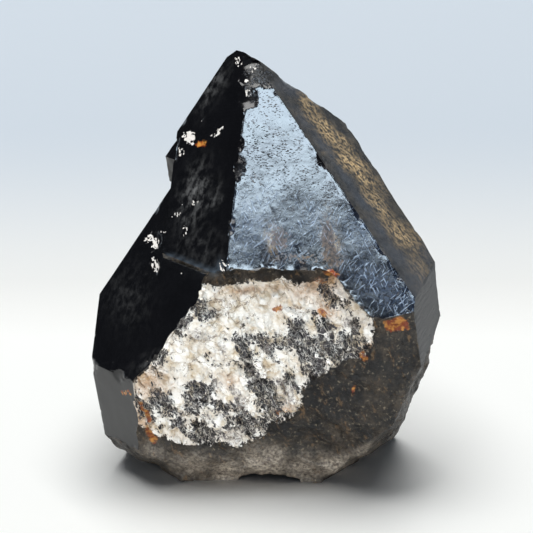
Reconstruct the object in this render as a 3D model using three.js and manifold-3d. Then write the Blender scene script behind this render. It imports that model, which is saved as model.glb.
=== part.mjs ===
// A morion: a black quartz crystal, broken from its pocket and standing on its broken root.
// It is one solid. The point is a stout six-sided pyramid on short prism sides. A second layer of
// the same crystal steps out low on the left, and a hollow patch in front is where the quartz grew
// against feldspar. Below that the stone is broken.
//
// Millimetres, +Z up. The viewer stands at -Y, and +X is to the viewer's right. The origin is in the
// middle of the footprint, on the ground.

import * as THREE from "three";
import { ConvexGeometry } from "three/addons/geometries/ConvexGeometry.js";
import { mergeVertices } from "three/addons/utils/BufferGeometryUtils.js";
import Module from "manifold-3d";

const wasm = await Module();
wasm.setup();

// Driving sizes

const APEX_HEIGHT = 60; // the point where the three front faces would meet, above the ground
const RHOMB_ANGLE = 51.8; // quartz: from the long axis to the normal of a pyramid face, in degrees
const SPIN = 12; // how far the front face is turned to the viewer's right, in degrees
const LEAN_FRONT = 1.6; // the long axis leans this far towards the viewer, in degrees
const LEAN_LEFT = 7.9; // and this far to the viewer's left

// The six directions round the long axis, 60 degrees apart, counted from the front face to the right.
const FRONT = 0;
const RIGHT = 1;
const BACK_RIGHT = 2;
const BACK = 3;
const BACK_LEFT = -2;
const LEFT = -1;

// How far each face lies from the apex: pyramid faces, then the prism sides below them.
const MAIN_PYRAMID = [
  [FRONT, 0],
  [LEFT, 0],
  [RIGHT, 0],
  [BACK_RIGHT, -0.1],
  [BACK, 1.8],
  [BACK_LEFT, 2.5],
];
const MAIN_PRISM = [
  [FRONT, 25.2],
  [LEFT, 18.8],
  [RIGHT, 24.1],
  [BACK_RIGHT, 10.4],
  [BACK, 14],
  [BACK_LEFT, 11.6],
];
const LOWER_PYRAMID = [
  [FRONT, 0],
  [LEFT, -0.4],
  [RIGHT, 0],
  [BACK_RIGHT, -0.1],
  [BACK, 0.4],
  [BACK_LEFT, -1.3],
];
const LOWER_PRISM = [
  [FRONT, 25.2],
  [LEFT, 29.7],
  [RIGHT, 24.1],
  [BACK_RIGHT, 10.4],
  [BACK, 13],
  [BACK_LEFT, 22.7],
];
const ROOT_DEPTH = 4; // the crystals run this far below the ground before the root is broken off

// Small parallel crystals that stand a little proud: where their points are, and their half widths.
const SIDE_CRYSTALS = [
  { point: [-10.3, 0.2, 47.2], width: 1.9, length: 6.6 },
  { point: [5.8, 11.4, 31], width: 4.4, length: 35 },
  { point: [-5.4, 11.2, 25], width: 5.0, length: 29 },
];

const CUT_DEPTH = 40; // a cutting block reaches this far out of the stone
const GRAIN = 1.2; // spacing of the points on a broken surface
const JITTER = 0.8; // and how unevenly they are spaced, so that no grid shows

// Shapes shared by everything below

const radians = THREE.MathUtils.degToRad;
const smooth = (low, high, t) => THREE.MathUtils.smoothstep(t, low, high);
const upright = new THREE.Matrix4().makeRotationFromEuler(
  new THREE.Euler(radians(LEAN_FRONT), radians(-LEAN_LEFT), 0, "XYZ"),
);
const apex = new THREE.Vector3(0, 0, APEX_HEIGHT);

function hash(i, j, k) {
  let h = Math.imul(i, 374761393) ^ Math.imul(j, 668265263) ^ Math.imul(k, 2147483647);
  h = Math.imul(h ^ (h >>> 13), 1274126177);
  return ((h ^ (h >>> 16)) >>> 0) / 4294967296;
}

// Smooth noise from -1 to 1 with one bump about each unit.
function noise(x, y, z) {
  const cell = [Math.floor(x), Math.floor(y), Math.floor(z)];
  const [u, v, w] = [x - cell[0], y - cell[1], z - cell[2]].map((t) => t * t * (3 - 2 * t));
  let sum = 0;
  for (let corner = 0; corner < 8; corner++) {
    const [a, b, c] = [corner & 1, (corner >> 1) & 1, corner >> 2];
    const weight = (a ? u : 1 - u) * (b ? v : 1 - v) * (c ? w : 1 - w);
    sum += weight * hash(cell[0] + a, cell[1] + b, cell[2] + c);
  }
  return 2 * sum - 1;
}

function fractal(x, y, seed) {
  return noise(x, y, seed) + 0.5 * noise(2 * x, 2 * y, seed + 7) + 0.25 * noise(4 * x, 4 * y, seed + 13);
}

// Blocks with sunk joints between them, 0 in a joint and 1 on top of a block. One block about each unit.
function blocks(x, y, seed) {
  const [i, j] = [Math.floor(x), Math.floor(y)];
  const near = [];
  for (let a = i - 1; a <= i + 1; a++) {
    for (let b = j - 1; b <= j + 1; b++) {
      near.push(Math.hypot(a + hash(a, b, seed) - x, b + hash(a, b, seed + 1) - y));
    }
  }
  near.sort((p, q) => p - q);
  return smooth(0, 0.45, near[1] - near[0]);
}

// The value at t of a smooth line through [t, value] points.
function through(points, t) {
  const last = points.length - 1;
  if (t <= points[0][0]) return points[0][1];
  for (let n = 0; n < last; n++) {
    const [[from, low], [to, high]] = [points[n], points[n + 1]];
    if (t <= to) return THREE.MathUtils.lerp(low, high, smooth(from, to, t));
  }
  return points[last][1];
}

function solidOf(geometry) {
  const bare = new THREE.BufferGeometry();
  bare.setAttribute("position", geometry.getAttribute("position"));
  if (geometry.index) bare.setIndex(geometry.index);
  const merged = mergeVertices(bare, 1e-4);
  return new wasm.Manifold(
    new wasm.Mesh({
      numProp: 3,
      vertProperties: new Float32Array(merged.getAttribute("position").array),
      triVerts: new Uint32Array(merged.index.array),
    }),
  );
}

function geometryOf(solid) {
  const mesh = solid.getMesh();
  const geometry = new THREE.BufferGeometry();
  geometry.setAttribute("position", new THREE.BufferAttribute(mesh.vertProperties, 3));
  geometry.setIndex(new THREE.BufferAttribute(mesh.triVerts, 1));
  geometry.computeVertexNormals();
  return geometry;
}

// The crystal: flat faces at quartz angles

function facePlane(turn, distance, slope, centre) {
  const azimuth = radians(SPIN + 60 * turn);
  const across = Math.sin(radians(slope));
  const normal = new THREE.Vector3(
    Math.sin(azimuth) * across,
    -Math.cos(azimuth) * across,
    Math.cos(radians(slope)),
  ).applyMatrix4(upright);
  return new THREE.Plane(normal, -normal.dot(centre) - distance);
}

// The convex solid inside a list of planes: its corners are where three of them meet.
function insideOf(planes) {
  const corners = [];
  const [ab, bc, ca] = [0, 0, 0].map(() => new THREE.Vector3());
  for (let a = 0; a < planes.length; a++) {
    for (let b = a + 1; b < planes.length; b++) {
      for (let c = b + 1; c < planes.length; c++) {
        const [p, q, r] = [planes[a], planes[b], planes[c]];
        ab.crossVectors(p.normal, q.normal);
        bc.crossVectors(q.normal, r.normal);
        ca.crossVectors(r.normal, p.normal);
        const volume = p.normal.dot(bc);
        if (Math.abs(volume) < 1e-6) continue;
        const corner = new THREE.Vector3()
          .addScaledVector(bc, -p.constant)
          .addScaledVector(ca, -q.constant)
          .addScaledVector(ab, -r.constant)
          .divideScalar(volume);
        if (planes.every((plane) => plane.distanceToPoint(corner) < 1e-5)) corners.push(corner);
      }
    }
  }
  return solidOf(new ConvexGeometry(corners));
}

function crystal(pyramid, prism, centre, length) {
  const down = new THREE.Vector3(0, 0, -1);
  const foot = new THREE.Plane(down, centre.z - length);
  return insideOf([
    ...pyramid.map(([turn, distance]) => facePlane(turn, distance, RHOMB_ANGLE, centre)),
    ...prism.map(([turn, distance]) => facePlane(turn, distance, 90, centre)),
    foot,
  ]);
}

function sideCrystal({ point, width, length }) {
  const sides = [FRONT, RIGHT, BACK_RIGHT, BACK, BACK_LEFT, LEFT];
  const pyramid = sides.map((turn) => [turn, 0]);
  const prism = sides.map((turn) => [turn, width]);
  return crystal(pyramid, prism, new THREE.Vector3(...point), length);
}

// Broken and contact surfaces: each is a block whose near side is a relief, and is cut away

// u runs to the right of the surface and v up it, as seen from outside. relief(u, v) is how far the
// surface stands out of the plane at `at`, in the direction that it faces.
function cuttingBlock({ at, azimuth, pitch, width, height, grain = GRAIN, relief }) {
  const [a, p] = [radians(azimuth), radians(pitch)];
  const out = new THREE.Vector3(Math.sin(a) * Math.cos(p), -Math.cos(a) * Math.cos(p), Math.sin(p));
  const right = new THREE.Vector3(Math.cos(a), Math.sin(a), 0);
  const up = new THREE.Vector3().crossVectors(out, right);
  const columns = Math.round(width / grain);
  const rows = Math.round(height / grain);
  const block = new THREE.BoxGeometry(width, height, CUT_DEPTH, columns, rows, 1);
  block.translate(0, 0, CUT_DEPTH / 2);
  const position = block.getAttribute("position");
  for (let n = 0; n < position.count; n++) {
    const [x, y] = [position.getX(n), position.getY(n)];
    const inside = Math.abs(x) < width / 2 - grain / 2 && Math.abs(y) < height / 2 - grain / 2;
    if (position.getZ(n) > CUT_DEPTH / 2) continue;
    const [i, j] = [Math.round((2 * x) / grain), Math.round((2 * y) / grain)];
    const u = x + (inside ? JITTER * grain * (hash(i, j, 1) - 0.5) : 0);
    const v = y + (inside ? JITTER * grain * (hash(i, j, 2) - 0.5) : 0);
    position.setXYZ(n, u, v, relief(u, v));
  }
  const place = new THREE.Matrix4().makeBasis(right, up, out).setPosition(...at);
  return solidOf(block.applyMatrix4(place));
}

// The patch where the quartz grew against feldspar. It is a shallow hollow under a lip, blocky all
// over, and it rounds under at the foot. Here u is X and v is height above the ground.
const CONTACT_PROFILE = [
  [0, 15.2],
  [6, 17.3],
  [15, 19],
  [25, 19.2],
  [31, 18.7],
  [33.8, 18.2],
];
const LIP_HEIGHT = [
  [10.5, 35.9],
  [17, 30.3],
];
const LIP_RISE = 9; // the block clears the front face above the lip by this much
const BLOCK_LEAN = 0.34; // the blocks lean to the right as they rise
const BLOCK_SIZE = [3.1, 4.6]; // width and height of one block

function contactRelief(x, z) {
  const lip = through(LIP_HEIGHT, x);
  let out = through(CONTACT_PROFILE, z);
  out -= 2.2 * smooth(-6, -13, x) * smooth(21, 29, z);
  out += 2.7 * smooth(7, 19, x) * smooth(2, 12, z);
  out += 2 * smooth(14, 20, x) * smooth(14, 25, z);
  out -= 2 * smooth(20.5, 25, x) * smooth(28, 14, z);
  const joint = blocks((x + BLOCK_LEAN * z) / BLOCK_SIZE[0], z / BLOCK_SIZE[1], 3);
  out += 0.55 * (joint - 1) + 0.4 * fractal(x / 6, z / 7, 5);
  return out + LIP_RISE * smooth(lip - 1.5 + 0.5 * noise(x / 2.5, 0, 4), lip + 1.1, z);
}

const contactPatch = {
  at: [0, 0, 0],
  azimuth: 0,
  pitch: 0,
  width: 60,
  height: 96,
  grain: 1.1,
  relief: contactRelief,
};

// The root stands on the flats left at ground level, with hollows between them.
const rootBreak = {
  at: [1, -1, 0],
  azimuth: 0,
  pitch: -90,
  width: 56,
  height: 44,
  grain: 1.5,
  relief: (u, v) => {
    const hollow = 0.9 * fractal(u / 7, v / 7, 21) + 0.35 * noise(u / 2.4, v / 2.4, 23);
    return -Math.max(0, hollow - 0.1);
  },
};

// The other broken sides: right side, right foot, left foot, back foot and the right margin. `rough`
// is the height of their lumps, and `bow` how far they bulge.
const BROKEN_SIDES = [
  { at: [25.1, -6, 15], azimuth: 75, pitch: -17, size: [44, 46], rough: 0.45, bow: 0.7, seed: 31 },
  { at: [21.4, -5.7, 4.4], azimuth: 55, pitch: -42, size: [46, 30], rough: 0.6, bow: 1.3, seed: 37 },
  { at: [-15.9, -11.9, 3], azimuth: -47, pitch: -44, size: [40, 22], rough: 0.5, bow: 0.4, seed: 41 },
  { at: [0, 14.6, 8], azimuth: 180, pitch: -27, size: [60, 34], rough: 0.8, bow: 1.2, seed: 43 },
  { at: [16.8, 1.4, 30], azimuth: 131, pitch: 4, size: [44, 84], rough: 0.55, bow: 0, seed: 47 },
];

function brokenSide({ at, azimuth, pitch, size, rough, bow, seed }) {
  const [width, height] = size;
  const relief = (u, v) => {
    const lumps = fractal(u / 6.5, v / 6.5, seed) + 0.35 * noise(u / 2, v / 2, seed + 3);
    const middle = 1 - Math.hypot(u / width, v / height) * 2;
    return rough * lumps + bow * middle;
  };
  return cuttingBlock({ at, azimuth, pitch, width, height, relief });
}

// Knocks along the edges: shallow shell-shaped scoops, each where a ball of radius `size` dips
// `deep` into the stone. Most are on the line where two pyramid faces meet, `drop` below the apex.
const EDGE_KNOCKS = [
  { between: [FRONT, LEFT], drop: 3.2, size: 3.4, deep: 0.9 },
  { between: [FRONT, LEFT], drop: 5.9, size: 2.3, deep: 0.6 },
  { between: [FRONT, LEFT], drop: 13.4, size: 1.8, deep: 0.4 },
  { between: [FRONT, LEFT], drop: 19.6, size: 1.5, deep: 0.3 },
  { between: [FRONT, RIGHT], drop: 3.4, size: 2.2, deep: 0.6 },
  { between: [FRONT, RIGHT], drop: 12.9, size: 1.6, deep: 0.3 },
  { between: [FRONT, RIGHT], drop: 18.3, size: 2.1, deep: 0.4 },
  { between: [FRONT, RIGHT], drop: 24.7, size: 1.9, deep: 0.4 },
  { between: [RIGHT, BACK_RIGHT], drop: 5.2, size: 2.6, deep: 0.6 },
  { between: [RIGHT, BACK_RIGHT], drop: 8.1, size: 2.2, deep: 0.5 },
  { between: [BACK, BACK_RIGHT], drop: 9.5, size: 3.1, deep: 0.8 },
];
const LOOSE_KNOCKS = [
  { at: [-3.2, 2.3, 59.9], size: 2.2, deep: 0.6 },
  { at: [-13.5, -7.4, 34.6], size: 1.9, deep: 0.8 },
  { at: [-13.6, -9.9, 31.9], size: 1.8, deep: 0.7 },
  { at: [-22.8, -6.4, 25.2], size: 1.8, deep: 0.5 },
  { at: [-22.7, -11.9, 17.7], size: 2, deep: 0.6 },
  { at: [-18.6, -16.6, 18.6], size: 1.7, deep: 0.5 },
  { at: [27.2, -7.6, 32.4], size: 2.6, deep: 0.7 },
];
const STONE_MIDDLE = new THREE.Vector3(0, 0, 26); // a knock comes from the side away from here
const KNOCK_ROUNDNESS = 2; // how many times the faces of a scoop are split

// The point on the edge between two pyramid faces of the main crystal, a height below the apex.
function onEdge([first, second], drop) {
  const [p, q] = [first, second].map((turn) => facePlane(turn, 0, RHOMB_ANGLE, apex).normal);
  const along = new THREE.Vector3().crossVectors(p, q);
  return apex.clone().addScaledVector(along, -drop / along.z);
}

function knock(at, size, deep) {
  const outward = at.clone().sub(STONE_MIDDLE).normalize();
  const { x, y, z } = at.clone().addScaledVector(outward, size - deep);
  return solidOf(new THREE.IcosahedronGeometry(size, KNOCK_ROUNDNESS).translate(x, y, z));
}

// The whole stone

function stone() {
  let solid = crystal(MAIN_PYRAMID, MAIN_PRISM, apex, APEX_HEIGHT + ROOT_DEPTH);
  solid = solid.add(crystal(LOWER_PYRAMID, LOWER_PRISM, apex, APEX_HEIGHT + ROOT_DEPTH));
  for (const side of SIDE_CRYSTALS) solid = solid.add(sideCrystal(side));
  for (const side of BROKEN_SIDES) solid = solid.subtract(brokenSide(side));
  solid = solid.subtract(cuttingBlock(contactPatch));
  solid = solid.subtract(cuttingBlock(rootBreak));
  for (const { between, drop, size, deep } of EDGE_KNOCKS) {
    solid = solid.subtract(knock(onEdge(between, drop), size, deep));
  }
  for (const { at, size, deep } of LOOSE_KNOCKS) {
    solid = solid.subtract(knock(new THREE.Vector3(...at), size, deep));
  }
  return solid;
}

const geometry = geometryOf(stone());
geometry.computeBoundingBox();
const { min, max } = geometry.boundingBox;
geometry.translate(-(min.x + max.x) / 2, -(min.y + max.y) / 2, -min.z);

const morion = new THREE.Mesh(
  geometry,
  new THREE.MeshStandardMaterial({ color: 0x14151a, roughness: 0.18, metalness: 0 }),
);
morion.name = "morion_crystal";

const specimen = new THREE.Group();
specimen.add(morion);

export default specimen;
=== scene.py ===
import math

import bmesh
import bpy
import numpy as np
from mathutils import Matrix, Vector, kdtree


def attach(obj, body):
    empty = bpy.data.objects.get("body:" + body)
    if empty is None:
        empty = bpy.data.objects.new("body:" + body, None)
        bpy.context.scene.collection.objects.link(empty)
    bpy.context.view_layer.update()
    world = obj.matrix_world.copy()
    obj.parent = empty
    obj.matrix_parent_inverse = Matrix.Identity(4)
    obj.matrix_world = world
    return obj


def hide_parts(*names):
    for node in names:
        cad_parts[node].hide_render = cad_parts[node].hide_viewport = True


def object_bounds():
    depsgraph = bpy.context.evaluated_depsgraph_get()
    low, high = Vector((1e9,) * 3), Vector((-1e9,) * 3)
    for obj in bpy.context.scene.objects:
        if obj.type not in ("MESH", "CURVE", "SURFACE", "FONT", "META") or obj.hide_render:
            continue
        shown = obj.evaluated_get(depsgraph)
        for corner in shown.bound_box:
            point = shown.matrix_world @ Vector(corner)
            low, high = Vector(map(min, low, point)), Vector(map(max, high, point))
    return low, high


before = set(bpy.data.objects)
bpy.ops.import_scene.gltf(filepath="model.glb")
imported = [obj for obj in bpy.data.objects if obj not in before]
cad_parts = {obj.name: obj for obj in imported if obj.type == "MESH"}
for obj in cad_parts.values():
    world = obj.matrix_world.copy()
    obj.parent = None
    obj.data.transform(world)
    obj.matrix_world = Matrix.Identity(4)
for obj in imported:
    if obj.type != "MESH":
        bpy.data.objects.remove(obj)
cad_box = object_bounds()
MM = 0.001


# The view. The stone is seen from the front and from a little above, from about its own height
# times six away. Places on its front are given as that view shows them: millimetres to the right
# and up from the middle of the picture.
VIEW_TARGET = np.array([0.10, 2.52, 27.21])  # millimetres
VIEW_ELEVATION = math.radians(25)
VIEW_DISTANCE = 361
VIEW_WIDTH = 77
SENSOR_WIDTH = 36

to_viewer = np.array([0, -math.cos(VIEW_ELEVATION), math.sin(VIEW_ELEVATION)])
picture_up = np.array([0, math.sin(VIEW_ELEVATION), math.cos(VIEW_ELEVATION)])
eye = VIEW_TARGET + VIEW_DISTANCE * to_viewer

lens = bpy.data.cameras.new("view")
lens.sensor_width = SENSOR_WIDTH
lens.lens = SENSOR_WIDTH * VIEW_DISTANCE / VIEW_WIDTH
lens.clip_start = 0.01
camera = bpy.data.objects.new("view", lens)
camera.location = Vector(eye * MM)
camera.rotation_mode = "QUATERNION"
camera.rotation_quaternion = Vector(-to_viewer).to_track_quat("-Z", "Y")
bpy.context.scene.collection.objects.link(camera)
bpy.context.scene.camera = camera


def in_picture(points):
    """Where points of the stone, in millimetres, are in the front view: right, up."""
    away = (points - eye) @ -to_viewer
    right = (points - eye)[:, 0] * VIEW_DISTANCE / away
    up = (points - eye) @ picture_up * VIEW_DISTANCE / away
    return right, up


# The stone: one crystal of black smoky quartz, with a little of the feldspar it grew against still on a
# hollow patch low in front. Its mesh is the solid's own, split finely enough to carry the small relief:
# blocky on the patch, lumpy where it broke, and nearly true on the grown faces.
LONGEST_EDGE = 1.1  # millimetres, anywhere on the stone
LONGEST_ROUGH_EDGE = 0.76  # on breaks
LONGEST_PATCH_EDGE = 0.42  # on the contact patch
LONGEST_BORDER_EDGE = 0.56  # within BORDER_WIDTH of an edge between two grown faces
BORDER_WIDTH = 1.3
MOST_SPLITS = 12
LEAST_FACE_AREA = 12  # square millimetres: a flat group of triangles at least this big is a grown face
KNOCK_AREA = 60  # and a rough group smaller than this is where an edge was knocked
FACES_TRIED = 400  # the largest triangles, each of which may start a grown face
FLAT_WITHIN = 0.015  # millimetres from the plane of a grown face
FLAT_COSINE = 0.9  # and how nearly a triangle on it faces the same way
MERGE_WITHIN = 0.002  # millimetres
FLAT_ANGLE = math.radians(0.3)
TINY = 1e-12  # keeps a division from failing
ROUGH = -1  # numbers that stand for no grown face
KNOCK = -2


def smooth_step(low, high, value):
    t = np.clip((value - low) / (high - low), 0, 1)
    return t * t * (3 - 2 * t)


def scatter(cells, seed):
    """One number from 0 to 1 for each whole-number cell."""
    x, y, z = (cells[..., n].astype(np.int64) for n in range(3))
    h = (x * 374761393 + y * 668265263 + z * 2147483647 + seed * 362437) & 0xFFFFFFFF
    h = ((h ^ (h >> 13)) * 1274126177) & 0xFFFFFFFF
    h = ((h ^ (h >> 16)) * 2246822519) & 0xFFFFFFFF
    return ((h ^ (h >> 15)) & 0xFFFFFF) / 0xFFFFFF


def ripple(places, seed):
    """Smooth noise from -1 to 1, about one bump for each unit."""
    cell = np.floor(places)
    t = places - cell
    t = t * t * (3 - 2 * t)
    total = np.zeros(len(places))
    for corner in np.ndindex(2, 2, 2):
        weight = np.prod(np.where(corner, t, 1 - t), axis=1)
        total += weight * scatter(cell + corner, seed)
    return 2 * total - 1


def layered(places, seed, layers=4):
    """Noise with finer and fainter layers added."""
    return sum(ripple(places * 2**n, seed + n) / 2**n for n in range(layers))


def lumps(places, seed):
    """Cells in space: the random number of the nearest one, and how far its border is."""
    home = np.floor(places)
    near = np.full(len(places), 9.0)
    next_near = np.full(len(places), 9.0)
    value = np.zeros(len(places))
    for step in np.ndindex(3, 3, 3):
        cell = home + step - 1
        middle = cell + np.stack([scatter(cell, seed + n) for n in (1, 2, 3)], axis=1)
        far = np.linalg.norm(places - middle, axis=1)
        closer = far < near
        next_near = np.where(closer, near, np.minimum(next_near, far))
        value = np.where(closer, scatter(cell, seed), value)
        near = np.where(closer, far, near)
    return value, next_near - near


def solid_mesh(obj):
    """The points, in millimetres, and the triangles of a solid, with flat faces divided afresh."""
    solid = bmesh.new()
    solid.from_mesh(obj.data)
    bmesh.ops.remove_doubles(solid, verts=solid.verts, dist=MERGE_WITHIN * MM)
    bmesh.ops.dissolve_limit(solid, angle_limit=FLAT_ANGLE, verts=solid.verts, edges=solid.edges)
    bmesh.ops.triangulate(solid, faces=solid.faces, quad_method="BEAUTY", ngon_method="BEAUTY")
    solid.verts.index_update()
    points = np.array([v.co[:] for v in solid.verts]) / MM
    triangles = np.array([[v.index for v in face.verts] for face in solid.faces])
    solid.free()
    return points, triangles


def face_vectors(points, triangles):
    """Twice the area of each triangle, as a vector along its normal."""
    a, b, c = (points[triangles[:, n]] for n in range(3))
    return np.cross(b - a, c - a)


def joined(triangles, count, rounds):
    """For each triangle the lowest point number in the group of triangles it hangs together with."""
    group = np.arange(count)
    for _ in range(rounds):
        before = group.copy()
        lowest = group[triangles].min(axis=1)
        for n in range(3):
            np.minimum.at(group, triangles[:, n], lowest)
        if (before == group).all():
            break
    return group[triangles[:, 0]]


def grown_faces(points, triangles):
    """For each triangle the number of the grown face it is on, or ROUGH or KNOCK where it is on none."""
    vectors = face_vectors(points, triangles)
    area = np.linalg.norm(vectors, axis=1) / 2
    normal = vectors / np.maximum(2 * area, TINY)[:, None]
    number = np.full(len(triangles), ROUGH)
    planes = []
    for first in np.argsort(-area)[:FACES_TRIED]:
        if number[first] >= 0:
            continue
        height = np.abs((points - points[triangles[first, 0]]) @ normal[first])
        same = (height[triangles].max(axis=1) < FLAT_WITHIN) & (number < 0)
        same &= normal @ normal[first] > FLAT_COSINE
        if area[same].sum() > LEAST_FACE_AREA:
            number[same] = len(planes)
            planes.append(normal[first])
    rough = np.flatnonzero(number < 0)
    group = joined(triangles[rough], len(points), 200)
    group_area = np.bincount(group, area[rough], len(points))
    number[rough[group_area[group] < KNOCK_AREA]] = KNOCK
    return number, np.array(planes)


def split_finely(points, triangles, number, longest):
    """Halves each edge longer than longest(middles, is_rough) allows, until none is left."""
    for _ in range(MOST_SPLITS):
        sides = np.sort(triangles[:, [[0, 1], [1, 2], [2, 0]]], axis=2).reshape(-1, 2)
        keys, place = np.unique(sides[:, 0] * len(points) + sides[:, 1], return_inverse=True)
        edges = np.stack([keys // len(points), keys % len(points)], axis=1)
        ends = points[edges]
        length = np.linalg.norm(ends[:, 0] - ends[:, 1], axis=1)
        middle = ends.mean(axis=1)
        rough = np.zeros(len(edges), bool)
        rough[place.reshape(-1)] = np.repeat(number < 0, 3)
        cut = length > longest(middle, rough)
        if not cut.any():
            break
        fresh = np.full(len(edges), -1)
        fresh[cut] = len(points) + np.arange(cut.sum())
        points = np.concatenate([points, middle[cut]])
        halves = fresh[place.reshape(-1)].reshape(-1, 3)
        count = (halves >= 0).sum(axis=1)
        new_triangles, new_number = [triangles[count == 0]], [number[count == 0]]
        for turn in range(3):
            corner = np.roll(triangles, -turn, axis=1)
            half = np.roll(halves, -turn, axis=1)
            one = (count == 1) & (half[:, 0] >= 0)
            a, b, c = corner[one].T
            m = half[one, 0]
            new_triangles += [np.stack([a, m, c], 1), np.stack([m, b, c], 1)]
            new_number += [number[one]] * 2
            two = (count == 2) & (half[:, 2] < 0)
            a, b, c = corner[two].T
            m, n = half[two, 0], half[two, 1]
            across = np.linalg.norm(points[a] - points[n], axis=1)
            other = np.linalg.norm(points[m] - points[c], axis=1)
            short = (across < other)[:, None]
            new_triangles += [
                np.stack([m, b, n], 1),
                np.where(short, np.stack([a, m, n], 1), np.stack([a, m, c], 1)),
                np.where(short, np.stack([a, n, c], 1), np.stack([m, n, c], 1)),
            ]
            new_number += [number[two]] * 3
        a, b, c = triangles[count == 3].T
        m, n, o = halves[count == 3].T
        new_triangles += [np.stack(t, 1) for t in ((a, m, o), (m, b, n), (o, n, c), (m, n, o))]
        new_number += [number[count == 3]] * 4
        triangles = np.concatenate(new_triangles)
        number = np.concatenate(new_number)
    return points, triangles, number


def border_points(triangles, number):
    """The points where two kinds of face meet."""
    touched = np.unique(np.stack([triangles.reshape(-1), np.repeat(number, 3)], axis=1), axis=0)
    return np.flatnonzero(np.bincount(touched[:, 0]) > 1)


def distance_to(places, targets):
    """How far each place is from the nearest target."""
    tree = kdtree.KDTree(len(targets))
    for n, place in enumerate(targets):
        tree.insert(Vector(place), n)
    tree.balance()
    return np.array([tree.find(Vector(place))[2] for place in places])


PATCH_BOX = [-21, 15, -29, 1]  # left, right, bottom and top of the contact patch in the front view
PATCH_BACK = -8  # and all of it is further forward than this
WORN_WAY = np.array([0.206, -0.979, 0.0])  # the front prism side, which is crusted like the breaks
WORN_COSINE = 0.99


def in_box(right, up, box):
    return (right > box[0]) & (right < box[1]) & (up > box[2]) & (up < box[3])


def longest_here(middle, rough):
    on_patch = in_box(*in_picture(middle), PATCH_BOX) & (middle[:, 1] < PATCH_BACK)
    if_rough = np.where(on_patch, LONGEST_PATCH_EDGE, LONGEST_ROUGH_EDGE)
    return np.where(rough, if_rough, LONGEST_EDGE)


def longest_by_border(middle, rough):
    allowed = longest_here(middle, rough)
    smooth = np.flatnonzero(~rough)
    near = distance_to(middle[smooth], borders) < BORDER_WIDTH
    allowed[smooth[near]] = LONGEST_BORDER_EDGE
    return allowed


points, triangles = solid_mesh(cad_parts["morion_crystal"])
face_number, planes = grown_faces(points, triangles)
worn = np.flatnonzero(planes @ WORN_WAY > WORN_COSINE)
face_number[np.isin(face_number, worn)] = ROUGH
points, triangles, face_number = split_finely(points, triangles, face_number, longest_here)
borders = points[border_points(triangles, face_number)]
points, triangles, face_number = split_finely(points, triangles, face_number, longest_by_border)
print("stone: points", len(points), "triangles", len(triangles), "grown faces", len(planes))


def neighbours(triangles):
    """All pairs of points that share a side, both ways round."""
    sides = np.concatenate([triangles[:, [0, 1]], triangles[:, [1, 2]], triangles[:, [2, 0]]])
    return np.concatenate([sides, sides[:, ::-1]])


def evened(values, pairs, rounds):
    """Values at the points, each replaced by its neighbours' mean a few times."""
    here, beside = pairs.T
    count = np.bincount(here, minlength=len(values)).astype(float)
    for _ in range(rounds):
        sums = [np.bincount(here, column[beside], len(count)) for column in values.T]
        values = np.stack(sums, axis=1) / count[:, None]
    return values


def point_normals(points, triangles):
    total = np.zeros_like(points)
    vectors = face_vectors(points, triangles)
    for n in range(3):
        for axis in range(3):
            total[:, axis] += np.bincount(triangles[:, n], vectors[:, axis], len(points))
    return total / np.maximum(np.linalg.norm(total, axis=1), TINY)[:, None]


pairs = neighbours(triangles)
on_rough = np.zeros(len(points), bool)
on_grown = np.zeros(len(points), bool)
on_rough[triangles[face_number == ROUGH]] = True
on_grown[triangles[face_number != ROUGH]] = True
inner_rough = on_rough & ~on_grown

# The rough surfaces lose the facets of the solid before the fine relief is added.
ROUNDING = 6
for _ in range(ROUNDING):
    halfway = 0.5 * points + 0.5 * evened(points, pairs, 1)
    points = np.where(inner_rough[:, None], halfway, points)

# The knocks along the edges of the grown faces are mere nicks, so each is filled most of the way back to
# the faces beside it. The ledge on the left stays.
KNOCK_FILLED = 0.86  # of its depth
DEEPEST_KNOCK = 1.6  # millimetres: what is deeper is left alone
PROUD = 0.05  # a knock stands out from the faces by less than this
LEDGE_BOX = [-16, -5.6, -2.6, 2.6]  # left, right, bottom and top in the front view

middle = points[triangles].mean(axis=1)
on_ledge = in_box(*in_picture(middle), LEDGE_BOX) & (middle[:, 1] < 0)
knocks = np.flatnonzero((face_number == KNOCK) & ~on_ledge)
was_knocked = np.zeros(len(points))
was_knocked[triangles[knocks]] = 1
knock_of = joined(triangles[knocks], len(points), 80)
number_before = face_number.copy()
for knock in np.unique(knock_of):
    members = knocks[knock_of == knock]
    touched = np.zeros(len(points), bool)
    touched[triangles[members]] = True
    around = touched[triangles].any(axis=1) & (number_before >= 0)
    beside = np.unique(number_before[around])
    if not len(beside):
        continue
    feet = np.array([points[triangles[number_before == n][0, 0]] for n in beside])
    ways = planes[beside]
    foot_height = (feet * ways).sum(axis=1)
    height = middle[members] @ ways.T - foot_height
    shallow = (height.max(axis=1) > -DEEPEST_KNOCK) & (height.max(axis=1) < PROUD)
    face_number[members[shallow]] = beside[height.argmax(axis=1)][shallow]
    height = points[touched] @ ways.T - foot_height
    top = height.max(axis=1)
    depth = np.where(top > -DEEPEST_KNOCK, np.minimum(top, 0), 0)
    points[touched] -= KNOCK_FILLED * depth[:, None] * ways[height.argmax(axis=1)]

normals = point_normals(points, triangles)
right, up = in_picture(points)
seen = smooth_step(0.0, 0.25, normals @ to_viewer)  # 1 where the front view sees the surface, 0 behind

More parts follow.
